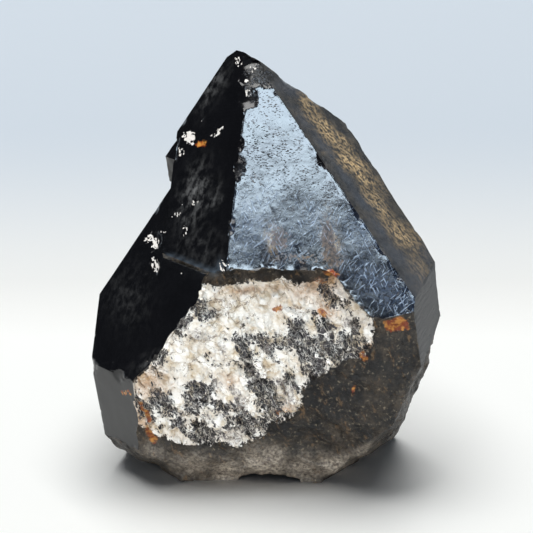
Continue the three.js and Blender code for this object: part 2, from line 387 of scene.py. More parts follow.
# The outline of the feldspar contact in the front view, and how deep inside it each point is.
PATCH_OUTLINE = [
    (-6.8, -2.9), (-3.0, -2.5), (0.3, -2.2), (4.6, -2.2), (8.6, -1.2), (10.4, -1.2), (12.4, -5.0),
    (15.8, -7.6), (15.8, -9.4), (14.2, -13.0), (10.6, -14.5), (5.4, -17.1), (4.9, -19.7),
    (2.9, -21.7), (0.5, -22.3), (-0.8, -24.9), (-3.8, -26.1), (-9.5, -25.4), (-13.4, -25.6),
    (-15.7, -24.3), (-19.9, -21.3), (-20.3, -17.1), (-18.0, -15.1), (-15.7, -12.9), (-16.0, -10.4),
    (-15.0, -6.0), (-13.4, -6.8), (-12.1, -3.2), (-9.0, -2.4),
]


def depth_inside(outline, right, up):
    """How far inside a closed outline each place is, in millimetres; less than 0 outside."""
    corners = np.array(outline)
    nearest = np.full(len(right), 99.0)
    inside = np.zeros(len(right), bool)
    for (x0, y0), (x1, y1) in zip(corners, np.roll(corners, -1, axis=0)):
        dx, dy = x1 - x0, y1 - y0
        along = np.clip(((right - x0) * dx + (up - y0) * dy) / (dx * dx + dy * dy), 0, 1)
        nearest = np.minimum(nearest, np.hypot(right - x0 - along * dx, up - y0 - along * dy))
        crosses = (y0 > up) != (y1 > up)
        inside ^= crosses & (right < x0 + (up - y0) * dx / (dy or TINY))
    return np.where(inside, nearest, -nearest)


edge_wander = 0.7 * layered(points / 2.2, 11, 3)
patch = smooth_step(-0.5, 0.6, depth_inside(PATCH_OUTLINE, right, up) + edge_wander) * on_rough * seen

# Blocks on the contact patch, leaning to the left as they rise. Most lie below the solid's surface, the
# deepest by over a millimetre, and a few stand out from it by less than half of one.
BLOCK_LEAN = 0.36
BIG_BLOCK, MIDDLE_BLOCK, SMALL_BLOCK = [2.0, 2.2, 3.0], [0.95, 1.0, 1.4], [0.55, 0.6, 0.75]
BIG_STEP, MIDDLE_STEP, SMALL_STEP = 1.3, 0.8, 0.35  # the most by which two blocks side by side differ
GROOVE_DEPTH, GROOVE_WIDTH = 0.25, 0.25  # between the middle-sized blocks

leaning = points.copy()
leaning[:, 0] += BLOCK_LEAN * points[:, 2]
warp = 0.5 * np.stack([layered(points / 2.5, seed, 2) for seed in (51, 52, 53)], axis=1)
big_value, _ = lumps(leaning / BIG_BLOCK + warp, 61)
middle_value, middle_border = lumps(leaning / MIDDLE_BLOCK + warp, 65)
small_value, _ = lumps(leaning / SMALL_BLOCK + warp, 69)
blocky = (
    BIG_STEP * (big_value - 0.65)
    + MIDDLE_STEP * (middle_value - 0.65)
    + SMALL_STEP * (small_value - 0.6)
    - GROOVE_DEPTH * (1 - smooth_step(0, GROOVE_WIDTH, middle_border))
)

# Breaks: shell-shaped lumps with small steps and a fine grain.
BREAK_LUMP = [3.4, 3.0, 2.6]
broken_value, _ = lumps(points / BREAK_LUMP + warp, 73)
broken = (
    0.28 * layered(points / 3.0, 31)
    + 0.3 * (broken_value - 0.6)
    + 0.1 * layered(points / 0.7, 35, 2)
    - 0.15
)

# Grown faces: very low growth hills, kept just inside the solid.
hills = 0.03 * ripple(points / 4.0, 41) + 0.012 * ripple(points / 1.3, 43) - 0.04

rough_relief = patch * blocky + (1 - patch) * broken
relief = np.where(inner_rough, rough_relief, np.where(on_rough, 0, hills))

# The edges of the grown faces: nicked here and there, rubbed all along, and grainy where a knock was.
NICK_DEPTH, NICK_WIDTH = 0.22, 0.4
RUB_DEPTH, RUB_WIDTH = 0.03, 0.2
FAR_FROM_EDGE = 9.0
SOFT_ROUNDS = 3  # of evening the normals, along which the relief is raised
SHARP_ANGLE = math.radians(32)

grown_index = np.flatnonzero(on_grown)
edges = points[border_points(triangles, face_number)]
edge_distance = np.full(len(points), FAR_FROM_EDGE)
edge_distance[grown_index] = distance_to(points[grown_index], edges)
nick_size = smooth_step(0.45, 0.9, ripple(points / 1.7, 81))
nick_size += 0.4 * smooth_step(0.4, 0.9, ripple(points / 0.7, 83))
nick = NICK_DEPTH * nick_size * np.exp(-((edge_distance / NICK_WIDTH) ** 2))
nick += RUB_DEPTH * np.exp(-((edge_distance / RUB_WIDTH) ** 2))
relief -= np.where(on_grown, nick, 0)
relief -= was_knocked * on_grown * (0.08 + 0.09 * layered(points / 0.8, 91, 2))

soft_normals = evened(normals, pairs, SOFT_ROUNDS)
soft_normals /= np.maximum(np.linalg.norm(soft_normals, axis=1), TINY)[:, None]
low, high = (np.array(corner) / MM for corner in cad_box)
places = np.clip(points + relief[:, None] * soft_normals, low, high)

stone_mesh = bpy.data.meshes.new("morion")
stone_mesh.from_pydata(places * MM, [], triangles)
stone_mesh.update()
stone = bpy.data.objects.new("morion_stone", stone_mesh)
bpy.context.scene.collection.objects.link(stone)
stone_mesh.shade_smooth()
stone_mesh.set_sharp_from_angle(angle=SHARP_ANGLE)


# What shows on the stone's surface, as fields of soft-edged spots in the front view. Each spot is a place
# to the right and up, half its width and height, how much it leans, and how strong it is.
def field(spots, wander, seed):
    """The strongest of the spots at each point. Their outlines wander by about so many millimetres."""
    total = np.zeros(len(points))
    shift_right = wander * layered(points / 2.0, 201 + seed, 3)
    shift_up = wander * layered(points / 2.0, 301 + seed, 3)
    for across, height, wide, tall, lean, strength in spots:
        x = right + shift_right - across
        y = up + shift_up - height
        x = x + lean * y
        total = np.maximum(total, strength * np.exp(-((x / wide) ** 2) - (y / tall) ** 2))
    return total * seen


DARK_GRAINS_AND_SHADE = [  # clusters of dark quartz grains on the contact patch; the one at -12.8, -7.4 is painted shade in a shadowed gap
    (-9.6, -6.0, 2.5, 2.88, 0.3, 0.8), (-12.8, -7.4, 1.0, 2.88, 0.4, 1.1),
    (-12.1, -10.2, 1.0, 1.68, 0.4, 0.8), (-10.2, -19.3, 2.125, 3.84, -0.35, 1.0),
    (-2.7, -13.4, 1.25, 3.6, 0.3, 1.1), (-0.8, -11.0, 2.25, 2.4, 0.3, 0.85),
    (4.3, -10.6, 2.0, 3.12, 0.3, 1.0), (6.2, -14.7, 1.625, 3.12, 0.4, 1.0),
    (10.3, -11.8, 4.25, 3.12, 0.3, 0.95), (9.8, -4.2, 1.5, 2.88, 0.55, 0.85),
    (12.9, -12.1, 2.5, 1.92, 0.2, 1.0), (-0.4, -18.6, 1.875, 3.36, 0.35, 1.1),
    (3.0, -16.3, 1.625, 1.32, 0.3, 0.9), (-14.7, -20.3, 2.375, 1.68, 0.2, 0.9),
    (-12.4, -23.2, 1.625, 1.32, 0.2, 0.95), (-9.0, -24.3, 2.25, 1.44, 0.2, 0.95),
    (-2.6, -22.8, 3.75, 1.68, 0.2, 0.95), (-6.1, -20.6, 1.75, 1.68, 0.3, 0.7),
    (-16.6, -12.6, 1.75, 1.68, 0.3, 0.7), (8.0, -8.4, 1.75, 1.44, 0.4, 0.8),
    (-6.8, -14.6, 1.5, 1.44, 0.3, 0.6), (-18.4, -20.4, 1.5, 1.92, 0.4, 0.7),
    (13.6, -9.6, 1.125, 1.92, 0.5, 0.8), (1.6, -21.0, 2.0, 1.2, 0.2, 0.8),
]
GREY_PLATES = [  # greyish pink broken grains among them
    (11.9, -8.0, 1.2, 1.4, 0.4, 1.0), (3.0, -18.2, 1.7, 2.2, 0.3, 0.85),
    (-4.1, -19.1, 1.1, 2.2, 0.4, 0.9), (-9.6, -10.0, 1.7, 1.3, 0.2, 0.9),
    (-6.4, -12.2, 1.0, 1.2, 0.3, 0.7), (0.3, -12.0, 0.9, 1.2, 0.3, 0.6),
    (-6.9, -17.4, 1.4, 1.0, 0.3, 0.7), (-5.0, -24.6, 2.4, 1.4, 0.0, 0.8),
    (-16.6, -25.0, 1.3, 1.2, 0.2, 0.7), (-8.4, -21.6, 0.8, 1.4, 0.3, 0.5),
    (-1.8, -15.6, 0.8, 1.2, 0.3, 0.5), (-13.4, -11.6, 0.6, 2.0, 0.4, 0.5),
]
HONEY = [  # where the feldspar is stained honey brown
    (-17.0, -16.8, 2.2, 2.0, 0.0, 0.7), (-18.1, -22.4, 0.9, 2.6, 0.4, 0.8),
    (-13.2, -26.6, 3.0, 1.0, 0.0, 0.7), (-5.4, -16.2, 1.1, 1.1, 0.3, 0.7),
    (7.0, -3.4, 3.2, 1.7, -0.2, 0.75), (9.6, -1.6, 1.6, 1.0, 0.0, 0.9),
    (-3.6, -3.4, 3.0, 0.6, 0.0, 0.7), (1.2, -2.9, 2.0, 0.5, 0.0, 0.6),
    (14.4, -11.8, 1.1, 0.8, 0.0, 0.9), (2.2, -20.6, 1.3, 0.7, 0.0, 0.8),
    (8.6, -6.2, 1.8, 1.0, 0.4, 0.7), (-15.4, -18.2, 1.2, 1.0, 0.0, 0.5),
]
STAINS = [  # brown stains low on the front face
    (8.9, 3.8, 0.8, 2.8, 0.12, 1.5), (9.6, 1.2, 1.2, 1.4, 0.0, 1.2), (1.8, 4.2, 1.8, 1.8, 0.2, 0.7),
    (5.0, 1.2, 4.0, 0.9, 0.0, 0.5), (-1.8, 12.9, 0.9, 0.4, -0.3, 0.8),
    (12.6, 9.4, 0.5, 1.0, 0.6, 0.5),
]
SPECKS = [  # where white specks dust the left faces and the tip
    (-11.4, -1.4, 2.2, 1.8, 0.0, 1.0), (-21.6, -12.4, 2.6, 1.4, 0.0, 0.8),
    (-20.0, -8.4, 3.0, 2.4, 0.0, 0.6), (-12.0, 7.0, 2.6, 3.4, 0.0, 0.7),
    (-9.4, 13.0, 2.6, 3.0, 0.0, 0.5), (-3.4, 27.4, 1.6, 2.8, 0.0, 1.0),
    (-15.6, -13.4, 2.8, 1.8, 0.0, 0.8), (-9.0, 22.0, 3.0, 4.0, 0.0, 0.4),
]
BLACK_BREAK = [  # fresh black breaks
    (8.9, -18.1, 3.4, 4.0, 0.2, 1.0), (3.4, -23.6, 2.6, 2.0, 0.0, 1.0),
    (12.6, -15.4, 2.4, 2.4, 0.0, 0.6), (-6.0, -0.8, 0.8, 0.6, 0.0, 0.6),
    (-12.0, -28.0, 3.0, 1.2, 0.0, 0.5), (5.2, -28.8, 1.6, 1.4, 0.0, 0.8),
    (-1.2, 27.9, 2.2, 1.2, 0.3, 1.2), (-2.9, 25.2, 0.5, 1.4, 0.0, 1.1),
    (14.0, -22.0, 3.0, 1.6, 0.3, 0.6),
]
RIM = [  # the paler rim at the bottom
    (-10.5, -28.8, 3.4, 1.8, 0.0, 0.7), (-5.5, -29.6, 3.4, 1.8, 0.0, 1.0),
    (-0.5, -28.8, 3.6, 2.4, 0.0, 1.0), (5.0, -29.0, 3.0, 1.8, 0.0, 0.8),
    (10.4, -29.0, 3.6, 1.5, -0.2, 0.8), (15.4, -27.0, 3.0, 1.0, -0.6, 0.7),
    (-16.0, -27.0, 2.4, 1.4, 0.4, 0.4),
]
SLATE = [  # slate grey along the right face's left edge
    (5.6, 21.0, 0.9, 2.2, 0.75, 0.8), (8.4, 17.2, 0.9, 2.4, 0.75, 0.9),
    (11.2, 13.2, 0.9, 2.4, 0.75, 0.9), (13.8, 9.4, 1.0, 2.4, 0.75, 0.9),
    (16.4, 5.4, 1.1, 2.4, 0.75, 0.9), (19.0, 1.6, 1.4, 2.6, 0.75, 0.9),
    (22.0, -2.4, 2.4, 3.6, 0.4, 0.8), (23.6, 1.6, 1.6, 1.8, 0.4, 0.6),
    (3.6, 26.0, 2.6, 1.4, 0.9, 0.8),
]
RUST = [  # rust spots
    (17.9, -8.6, 0.9, 0.8, 0.3, 1.0), (19.2, -8.2, 1.3, 1.1, 0.3, 0.9),
    (1.6, -6.2, 0.6, 0.5, -0.6, 0.9), (7.9, -6.7, 0.9, 0.7, 0.4, 0.7),
    (9.5, -0.9, 1.2, 0.6, 0.0, 0.7), (7.4, -2.0, 1.4, 0.9, 0.0, 0.4),
    (13.8, -12.9, 0.8, 0.8, 0.5, 0.6), (12.5, -17.9, 0.5, 0.9, 0.0, 0.5),
    (1.7, -21.2, 0.8, 0.5, 0.0, 0.6), (13.3, -29.2, 1.2, 0.5, 0.0, 0.7),
    (-17.4, -21.4, 0.5, 1.7, 0.6, 0.8), (-16.8, -24.6, 0.5, 1.4, 0.4, 0.8),
    (-9.2, 17.9, 0.8, 0.5, -0.3, 0.8), (-3.8, -16.5, 0.9, 0.9, 0.3, 0.35),
    (-20.0, -18.4, 0.9, 0.7, 0.0, 0.5),
]
TAN_FILM = [  # the tan film down the right face
    (6.0, 23.6, 1.0, 2.0, 0.9, 0.6), (9.0, 19.2, 1.3, 3.0, 0.9, 1.0),
    (12.6, 14.4, 1.5, 3.2, 0.9, 1.0), (16.2, 9.0, 1.0, 3.0, 0.8, 0.7),
    (19.6, 4.6, 1.8, 2.6, 0.9, 0.75), (22.6, -1.0, 1.4, 3.0, 0.6, 0.55),
    (0.9, 3.4, 1.0, 2.0, 0.0, 0.5), (9.2, 4.0, 1.0, 3.0, 0.2, 0.5),
]
LEDGE = [  # the pale edge of the ledge on the left
    (-13.9, 1.5, 0.7, 0.28, 0.0, 0.8), (-12.6, 1.0, 0.7, 0.28, 0.0, 0.9),
    (-11.3, 0.5, 0.7, 0.3, 0.0, 0.9), (-10.0, 0.0, 0.7, 0.32, 0.0, 1.0),
    (-8.8, -0.5, 0.7, 0.4, 0.0, 1.0), (-7.6, -0.9, 0.7, 0.6, 0.0, 1.0),
    (-6.7, 0.0, 0.5, 0.8, 0.0, 0.9),
]
PALE_CHIPS = [  # white chips: right, up, half width, half height, turn
    (-11.3, 18.8, 0.75, 0.5, 0.3), (-11.0, 18.3, 0.4, 0.6, -0.3), (-12.4, 16.6, 0.25, 0.45, 0.2),
    (-7.3, 19.4, 0.85, 0.14, 0.8), (-6.6, 19.7, 0.6, 0.12, 0.9), (-16.9, 3.9, 0.75, 0.32, 0.5),
    (-16.2, 3.4, 0.35, 0.75, 0.3), (-16.2, 0.3, 0.3, 0.95, 0.25), (-11.7, 5.2, 0.12, 0.7, 0.1),
    (-12.9, 7.7, 0.18, 0.35, 0.0), (-4.1, 29.6, 0.16, 0.5, 0.3), (-1.9, 28.4, 0.16, 0.35, 0.5),
    (-2.9, 27.0, 0.4, 0.22, -0.4), (-2.8, 25.1, 0.16, 0.45, 0.2), (-6.1, 0.3, 0.16, 0.6, 0.7),
    (-6.7, -0.1, 0.14, 0.6, 0.7), (-10.4, 9.4, 0.12, 0.4, 0.4), (-15.0, 4.9, 0.15, 0.2, 0.0),
]
CLOUDS = [  # pale clouds in the left faces
    (-10.4, 10.6, 1.8, 3.6, -0.2, 0.5), (-7.4, 9.8, 0.6, 1.6, -0.4, 0.35),
    (-8.0, 26.0, 1.4, 3.0, -0.4, 0.3), (-10.0, 3.2, 3.2, 3.2, 0.2, 0.12),
    (-15.6, -14.4, 2.4, 1.6, -0.4, 0.5), (-20.0, -4.4, 3.0, 4.0, 0.0, 0.08),
]
PITS = [  # the pitted parts of the front face
    (-1.0, 17.0, 2.2, 2.0, 0.2, 1.4), (-2.7, 12.8, 1.3, 0.5, 0.0, 1.8),
    (2.0, 15.0, 3.0, 3.4, 0.3, 0.45), (0.6, 23.0, 1.6, 3.0, 0.3, 0.08),
    (6.0, 11.4, 5.0, 2.4, 0.3, 0.35), (7.6, 14.6, 0.9, 0.6, 0.7, 1.2),
    (13.0, -2.0, 4.0, 4.0, 0.3, 0.5),
]
HATCHING_AND_REFLECTION = [  # the finely scratched parts of the front face, which also carry a painted blue reflection
    (-2.6, 5.4, 3.4, 5.0, 0.0, 1.0), (2.0, 4.0, 4.0, 4.0, 0.0, 0.8), (8.0, 6.0, 4.0, 4.0, 0.5, 0.8),
    (13.4, 5.0, 2.6, 4.0, 0.5, 1.0), (16.6, -2.4, 4.5, 5.0, 0.8, 1.1),
    (0.0, 10.4, 4.0, 2.2, 0.0, 0.5),
]
CLEAR_CREAM = [  # feldspar with no dark grains in it
    (-1.4, -5.2, 6.0, 2.2, 0.0, 1.0), (-11.4, -12.4, 0.9, 2.4, 0.5, 1.0),
    (-7.0, -11.0, 1.4, 2.6, 0.4, 0.5), (13.9, -8.0, 0.6, 3.4, 0.45, 0.8),
    (0.4, -15.0, 1.2, 1.2, 0.3, 0.9), (4.4, -15.2, 0.4, 2.0, 0.3, 0.9),
    (-2.8, -18.6, 0.35, 3.0, 0.35, 1.0), (-2.0, -8.6, 3.0, 1.2, 0.2, 0.7),
    (-8.6, -15.6, 2.2, 1.8, 0.3, 0.6), (4.6, -19.0, 0.8, 1.4, 0.3, 0.8),
    (-11.4, -22.0, 1.2, 2.0, 0.6, 0.5), (-16.6, -9.4, 0.7, 2.0, 0.2, 0.7),
]

shown = {
    "dark_grains_and_shade": field(DARK_GRAINS_AND_SHADE, 0.8, 1),
    "clear_cream": field(CLEAR_CREAM, 0.3, 2),
    "grey_plates": field(GREY_PLATES, 0.4, 10),
    "honey": field(HONEY, 0.6, 11),
    "rim": field(RIM, 0.6, 12),
    "slate": field(SLATE, 0.3, 13),
    "rust": field(RUST, 0.35, 3),
    "tan_film": field(TAN_FILM, 0.8, 4),
    "stains": field(STAINS, 0.4, 14),
    "specks": field(SPECKS, 0.4, 15),
    "black_break": field(BLACK_BREAK, 0.9, 16),
    "clouds": field(CLOUDS, 0.6, 6),
    "ledge": field(LEDGE, 0.1, 9),
    "pits": field(PITS, 0.6, 7),
    "hatching_and_reflection": field(HATCHING_AND_REFLECTION, 0.8, 8),
    "patch": patch,
    "chipped": was_knocked,
}

# Which face each triangle is on decides its gloss: the left faces are the cleanest, the front one is
# finely pitted, the right one is dull, and the prism sides to the right are ribbed.
FRONT_WAY = np.array([0.08, -0.79, 0.61])
RIGHT_WAY = np.array([0.66, -0.26, 0.71])
FACE_COSINE = 0.98
MOST_RISE, LEAST_TURN = 0.4, 0.2  # how far a ribbed side may face up, and must face right

plane_of = planes[np.maximum(face_number, 0)]
is_grown = face_number >= 0
is_ribbed = is_grown & (np.abs(plane_of[:, 2]) < MOST_RISE) & (plane_of[:, 0] > LEAST_TURN)
per_triangle = {
    "grown": face_number != ROUGH,
    "front_face": is_grown & (plane_of @ FRONT_WAY > FACE_COSINE),
    "right_face": is_grown & (plane_of @ RIGHT_WAY > FACE_COSINE),
    "ribbed_side": is_ribbed,
}

# Places within a face, in millimetres: across it, up it and out of it. On rough surfaces they are the
# places in space.
across = np.cross([0, 0, 1.0], plane_of)
across /= np.maximum(np.linalg.norm(across, axis=1), TINY)[:, None]
upward = np.cross(plane_of, across)
corners = points[triangles]
ways = (across, upward, plane_of)
in_face = np.stack([np.einsum("tcx,tx->tc", corners, way) for way in ways], axis=2)
in_face = np.where(is_grown[:, None, None], in_face, corners)

# Places in the front view. The hidden side is moved away from all of them.
HIDDEN_AWAY = 9
front_places = np.stack([right, up, HIDDEN_AWAY * (1 - seen)], axis=1)


def keep_on_stone(name, values, domain):
    """Stores values on the mesh, at each point or each triangle's corner, for the material to read."""
    kind, key = ("FLOAT", "value") if values.ndim == 1 else ("FLOAT_VECTOR", "vector")
    layer = stone_mesh.attributes.new(name, kind, domain)
    layer.data.foreach_set(key, values.reshape(-1).astype(np.float32))


for name, values in shown.items():
    keep_on_stone(name, values, "POINT")
for name, values in per_triangle.items():
    keep_on_stone(name, np.repeat(values, 3), "CORNER")
keep_on_stone("front_view", front_places, "POINT")
keep_on_stone("in_face", in_face.reshape(-1, 3), "CORNER")


# How the stone looks: glossy black grown faces, brown-grey breaks with faint crusts, and on the contact
# patch dark quartz grains in a cream net of feldspar. It is one material, which reads the fields above.
def linear(red, green, blue):
    """A colour as it shows on a screen, 0 to 255, as the light it stands for."""
    shares = (((c / 255 + 0.055) / 1.055) ** 2.4 if c > 10 else c / 3295 for c in (red, green, blue))
    return (*shares, 1.0)


class Paint:
    """One node material, built a line at a time."""

    def __init__(self, name):
        self.material = bpy.data.materials.new(name)
        self.material.use_nodes = True
        self.nodes = self.material.node_tree.nodes
        self.links = self.material.node_tree.links
        self.surface = self.nodes["Principled BSDF"]

    def put(self, socket, value):
        if isinstance(value, bpy.types.NodeSocket):
            self.links.new(value, socket)
        else:
            socket.default_value = value

    def add(self, kind, settings, values):
        made = self.nodes.new("ShaderNode" + kind)
        for name, setting in settings.items():
            setattr(made, name, setting)
        for name, value in values.items():
            self.put(made.inputs[name], value)
        return made

    def attribute(self, name, output="Fac"):
        return self.add("Attribute", {"attribute_name": name}, {}).outputs[output]

    def calc(self, operation, first, *others):
        """Sums on two or more values, taken in turn."""
        for other in others:
            first = self.add("Math", {"operation": operation}, {0: first, 1: other}).outputs[0]
        return first

    def plus(self, *values):
        return self.calc("ADD", *values)

    def minus(self, *values):
        return self.calc("SUBTRACT", *values)

    def times(self, *values):
        return self.calc("MULTIPLY", *values)

    def least(self, *values):
        return self.calc("MINIMUM", *values)

    def most(self, *values):
        return self.calc("MAXIMUM", *values)

    def vector(self, operation, *values):
        return self.add("VectorMath", {"operation": operation}, dict(enumerate(values))).outputs[0]

    def scaled(self, places, scale):
        values = {"Vector": places, "Scale": scale}
        return self.add("VectorMath", {"operation": "SCALE"}, values).outputs[0]

    def stretch(self, places, scale, turn=(0, 0, 0)):
        values = {"Vector": places, "Scale": scale, "Rotation": turn}
        return self.add("Mapping", {}, values).outputs[0]

    def noise(self, places, scale, detail=2.0, rough=0.5, output="Fac"):
        values = {"Vector": places, "Scale": scale, "Detail": detail, "Roughness": rough}
        return self.add("TexNoise", {}, values).outputs[output]

    def lines(self, places, scale, rough):
        """Noise that is 0 along wandering lines and grows away from them."""
        away = self.minus(self.noise(places, scale, 3.0, rough), 0.5)
        return self.add("Math", {"operation": "ABSOLUTE"}, {0: away}).outputs[0]

    def cells(self, places, scale, feature="F1", output="Distance"):
        values = {"Vector": places, "Scale": scale}
        return self.add("TexVoronoi", {"feature": feature}, values).outputs[output]

    def part(self, colour, index):
        """The red, green or blue of a colour, as 0, 1 or 2."""
        return self.add("SeparateColor", {}, {"Color": colour}).outputs[index]

    def ramp(self, value, low, high, start=0.0, end=1.0):
        values = {"Value": value, "From Min": low, "From Max": high, "To Min": start, "To Max": end}
        return self.add("MapRange", {"interpolation_type": "SMOOTHSTEP"}, values).outputs[0]

    def mix(self, share, first, second):
        """From the first colour to the second."""
        return self.add("Mix", {"data_type": "RGBA"}, {0: share, 6: first, 7: second}).outputs[2]

    def blend(self, share, first, second):
        """From the first number to the second."""
        return self.add("Mix", {}, {0: share, 2: first, 3: second}).outputs[0]

    def spots(self, places, marks):
        """How deep inside the nearest of some ovals a place is: 1 in the middle, 0 at the rim."""
        far = []
        for across, height, wide, tall, turn in marks:
            oval = {"Location": (across, height, 0), "Rotation": (0, 0, turn), "Scale": (wide, tall, 1)}
            oval["Vector"] = places
            place = self.add("Mapping", {"vector_type": "TEXTURE"}, oval).outputs[0]
            far.append(self.add("VectorMath", {"operation": "LENGTH"}, {0: place}).outputs["Value"])
        return self.minus(1.0, self.least(*far))


p = Paint("morion_quartz")
spot = p.scaled(p.add("TexCoord", {}, {}).outputs["Object"], 1 / MM)  # in millimetres, as all places here
flat_spot = p.attribute("in_face", "Vector")
front_view = p.attribute("front_view", "Vector")
grown = p.attribute("grown")
front = p.attribute("front_face")
dull = p.attribute("right_face")
ribbed = p.attribute("ribbed_side")
speckle = p.noise(spot, 2.4, 3.0, 0.65)
shade = p.noise(flat_spot, 1.6, 4.0, 0.7)


def ragged_field(name, reach, low, high):
    """Where a field shows, with its border broken up by the speckle."""
    return p.ramp(p.plus(p.attribute(name), p.ramp(speckle, 0.3, 0.7, -reach, reach)), low, high)


# Contact patch: dark quartz grains in a cream net of feldspar, leaning as the blocks do.
CREAM, BUFF = linear(255, 252, 246), linear(216, 200, 174)
CRACK_BROWN = linear(104, 78, 48)
PALE_HONEY, DARK_HONEY = linear(214, 172, 112), linear(150, 100, 60)
GRAIN_BLACK, GRAIN_GREY = linear(14, 15, 20), linear(96, 92, 94)
PLATE_GREY, PLATE_PINK = linear(88, 84, 86), linear(184, 174, 168)
GRAIN_LEAN = 0.38  # radians
GRAIN_SCALE = 1.1  # grains for each millimetre

wander = p.noise(spot, 0.9, 3.0, output="Color")
leaning_spot = p.stretch(spot, (1.0, 1.0, 1.0), (0, GRAIN_LEAN, 0))
bent = p.vector("ADD", p.stretch(leaning_spot, (1.0, 1.0, 0.6)), p.scaled(wander, 0.8))
mark = p.part(p.cells(bent, GRAIN_SCALE, output="Color"), 0)
net = p.least(
    p.times(p.lines(bent, 0.75, 0.55), 5.0),
    p.times(p.lines(bent, 1.5, 0.6), 5.5),
    p.times(p.cells(bent, GRAIN_SCALE, "DISTANCE_TO_EDGE"), 3.2),
)
patch_here = ragged_field("patch", 0.3, 0.4, 0.56)
uneven = p.ramp(p.noise(bent, 0.45, 3.0, 0.6), 0.35, 0.65, 0.0, 0.5)
# The dark grains field also holds one spot of painted shade, in a shadowed gap on the patch's left.
darkness = p.minus(p.plus(p.attribute("dark_grains_and_shade"), uneven), p.times(p.attribute("clear_cream"), 0.8))
darkness = p.plus(darkness, p.times(p.minus(mark, 0.45), 0.34))
net_width = p.ramp(darkness, 0.08, 0.82, 0.68, 0.05)
grains = p.ramp(p.minus(net, net_width), -0.03, 0.06)
cream = p.mix(p.ramp(p.noise(spot, 0.55, 4.0, 0.6), 0.42, 0.72), CREAM, BUFF)
crack_place = p.vector("ADD", p.stretch(spot, (0.8, 1.0, 1.6)), p.scaled(wander, 2.4))
crack = p.ramp(p.cells(crack_place, 0.34, "DISTANCE_TO_EDGE"), 0.0, 0.035, 1.0, 0.0)
crack = p.times(crack, p.ramp(p.noise(spot, 0.4), 0.42, 0.6))
cream = p.mix(p.times(crack, 0.8), cream, CRACK_BROWN)
honey = p.times(p.attribute("honey"), p.ramp(p.noise(spot, 1.3, 4.0, 0.7), 0.3, 0.5))
cream = p.mix(honey, cream, p.mix(speckle, PALE_HONEY, DARK_HONEY))
grain_colour = p.mix(p.ramp(p.noise(bent, 3.0, 2.0, 0.6), 0.35, 0.75), GRAIN_BLACK, GRAIN_GREY)
plates = p.times(ragged_field("grey_plates", 0.2, 0.35, 0.6), p.ramp(net, 0.1, 0.2, 0.25, 0.85))
plate_colour = p.mix(p.ramp(speckle, 0.3, 0.7), PLATE_GREY, PLATE_PINK)
patch_colour = p.mix(plates, p.mix(grains, cream, grain_colour), plate_colour)

# Breaks: black to brown-grey quartz with faint tan crusts and a paler bottom rim.
BREAK_BLACK, BREAK_BROWN = linear(18, 17, 17), linear(82, 72, 60)
SMOOTH_BLACK = linear(14, 14, 17)
MOTTLE_BLACK = linear(12, 12, 14)
STREAK_TAN = linear(128, 100, 68)
CRUST_GREY = linear(170, 156, 132)
RIM_GREY, RIM_BUFF = linear(130, 120, 112), linear(214, 202, 184)

break_tone = p.noise(p.stretch(spot, (1.0, 1.0, 0.6)), 0.28, 7.0, 0.72)
break_colour = p.mix(p.ramp(break_tone, 0.4, 0.66), BREAK_BLACK, BREAK_BROWN)
break_colour = p.mix(p.times(p.attribute("black_break"), 0.9), break_colour, SMOOTH_BLACK)
mottle = p.ramp(p.noise(spot, 0.9, 6.0, 0.78), 0.47, 0.58)
break_colour = p.mix(p.times(mottle, 0.7), break_colour, MOTTLE_BLACK)
streak = p.ramp(p.noise(p.stretch(leaning_spot, (1.3, 1.3, 0.45)), 1.0, 5.0, 0.7), 0.57, 0.66)
break_colour = p.mix(p.times(streak, 0.6), break_colour, STREAK_TAN)
crust = p.ramp(p.noise(spot, 1.9, 5.0, 0.75), 0.57, 0.66)
break_colour = p.mix(p.times(crust, 0.55), break_colour, CRUST_GREY)
rim = p.times(p.attribute("rim"), p.ramp(p.noise(spot, 1.5, 5.0, 0.7), 0.25, 0.5))
break_colour = p.mix(rim, break_colour, p.mix(p.ramp(speckle, 0.35, 0.65), RIM_GREY, RIM_BUFF))
rough_colour = p.mix(patch_here, break_colour, patch_colour)

# Grown faces: nearly black, with pale clouds inside. The right face is dull, and has a tan film down its
# middle and slate grey along its left edge.
DEEP_BLACK, SOFT_BLACK = linear(2, 2, 3), linear(11, 11, 14)
CLOUD_GREY = linear(150, 150, 150)
DULL_BLACK, DULL_BROWN = linear(20, 22, 25), linear(64, 60, 54)
FILM_CREAM, FILM_TAN = linear(236, 208, 162), linear(150, 114, 60)
SLATE_BLACK, SLATE_BLUE = linear(30, 34, 42), linear(70, 76, 86)
CHIP_BLACK, CHIP_GREY = linear(4, 4, 5), linear(64, 68, 76)
STAIN_BLACK, STAIN_BROWN = linear(26, 21, 18), linear(96, 76, 54)
RIB_BLACK, RIB_GREY = linear(26, 28, 32), linear(66, 66, 66)

black = p.mix(p.noise(spot, 0.3, 3.0), DEEP_BLACK, SOFT_BLACK)
cloud_grain = p.ramp(p.noise(p.stretch(flat_spot, (1.0, 0.7, 1.0)), 1.1, 5.0, 0.65), 0.4, 0.75)
grown_colour = p.mix(p.times(p.attribute("clouds"), cloud_grain), black, CLOUD_GREY)
dull_tone = p.ramp(p.noise(flat_spot, 0.8, 5.0, 0.75), 0.35, 0.7)
grown_colour = p.mix(dull, grown_colour, p.mix(dull_tone, DULL_BLACK, DULL_BROWN))
film_place = p.stretch(flat_spot, (0.9, 0.5, 1.0), (0, 0, 0.6))
film = p.times(p.attribute("tan_film"), p.ramp(p.noise(film_place, 2.4, 6.0, 0.8), 0.45, 0.57))
grown_colour = p.mix(film, grown_colour, p.mix(shade, FILM_CREAM, FILM_TAN))
slate = p.times(p.attribute("slate"), dull, 0.85)
grown_colour = p.mix(slate, grown_colour, p.mix(shade, SLATE_BLACK, SLATE_BLUE))
